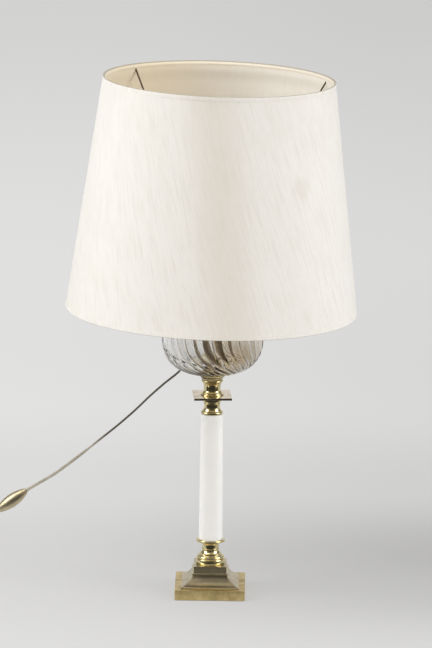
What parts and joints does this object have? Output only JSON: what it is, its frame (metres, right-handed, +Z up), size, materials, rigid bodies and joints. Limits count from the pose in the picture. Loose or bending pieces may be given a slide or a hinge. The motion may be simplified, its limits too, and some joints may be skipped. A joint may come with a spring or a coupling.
{
  "type": "table lamp",
  "caption": "Electrified column oil lamp: stepped square base, stone column, swirl-ribbed glass font and coned fabric shade.",
  "frame": {"origin": "on the column's axis, at the floor the base stands on; the leaning shade puts the box's centre about 2 mm from it", "axes": "+Z up the column; the lamp's front faces -Y; the cord leaves towards -X"},
  "size_m": [0.6398, 0.3498, 0.632],
  "materials": {
    "felt": "green felt",
    "cast_brass": "satin, with fine tool marks and a dull warm grey bloom",
    "dark_brass": "dark satin, lighter on the edges",
    "polished_brass": "polished",
    "burner_brass": "dull, browned by use",
    "white_stone": "polished white alabaster or onyx with faint clouds",
    "clear_glass": "clear, pressed",
    "cement": "matt plaster",
    "plated_steel": "zinc plated",
    "dark_plastic": "black moulded resin",
    "ceramic": "glazed ceramic",
    "bulb_metal": "thin rolled metal",
    "opal_glass": "frosted white",
    "dark_wire": "browned rod and wire",
    "shade_fabric": "off-white slubbed silk",
    "lining_fabric": "smooth beige laminate",
    "cord_sheath": "semi-clear tan flex over stranded wire",
    "gilt_case": "gilt, polished",
    "pale_plastic": "tan moulded plastic"
  },
  "bodies": {
    "stand": {"base_felt": "felt", "base_plinth": "cast_brass", "base_riser": "dark_brass", "tie_washer": "plated_steel", "tie_nut": "plated_steel", "tie_rod": "plated_steel", "column_foot": "polished_brass", "column_shaft": "white_stone", "capital_turning": "polished_brass", "abacus_plate": "cast_brass", "vase_turning": "polished_brass", "font_cement": "cement", "glass_font": "clear_glass", "font_collar": "burner_brass", "burner_base": "burner_brass", "wick_tube": "burner_brass", "burner_gallery": "burner_brass", "adaptor_cap": "burner_brass", "cord_bush": "dark_plastic", "holder_nipple": "plated_steel", "holder_cap": "burner_brass", "holder_shell": "dark_plastic", "holder_core": "ceramic", "holder_contact": "burner_brass", "shade_nut_lower": "dark_plastic", "shade_nut_upper": "dark_plastic", "cord_lamp_side": "cord_sheath", "switch_case_front": "gilt_case", "switch_case_back": "gilt_case", "switch_screws": "plated_steel", "cord_floor_side": "cord_sheath", "cord_coil": "cord_sheath", "cord_plug_tail": "cord_sheath", "plug_body": "pale_plastic", "plug_pins": "plated_steel"},
    "shade": {"carrier_ring": "dark_wire", "carrier_arm_right": "dark_wire", "carrier_arm_left": "dark_wire", "carrier_arm_front": "dark_wire", "shade_top_ring": "dark_wire", "shade_bottom_ring": "dark_wire", "shade_cover": "shade_fabric", "shade_lining": "lining_fabric", "shade_hem_top": "shade_fabric", "shade_hem_bottom": "shade_fabric"},
    "bulb": {"bulb_cap": "bulb_metal", "bulb_glass": "opal_glass"},
    "wick_winder": {"wick_shaft": "burner_brass", "wick_knob": "burner_brass"},
    "rocker": {"switch_rocker": "gilt_case"}
  },
  "joints": [
    {"name": "shade_swivel", "type": "hinge", "parent": "stand", "child": "shade", "pos_m": [0, 0, 0.4388], "axis": [0, 0, 1], "continuous": true},
    {"name": "bulb_turn", "type": "hinge", "parent": "stand", "child": "bulb", "pos_m": [0, 0, 0.4197], "axis": [0, 0, 1], "continuous": true},
    {"name": "wick_turn", "type": "hinge", "parent": "stand", "child": "wick_winder", "pos_m": [0.039, 0, 0.3728], "axis": [1, 0, 0], "continuous": true},
    {"name": "rocker_tilt", "type": "hinge", "parent": "stand", "child": "rocker", "pos_m": [-0.24224, 0.04372, 0.09802], "axis": [-0.3404, 0.8192, 0.4617], "range_deg": [0, 16]}
  ]
}
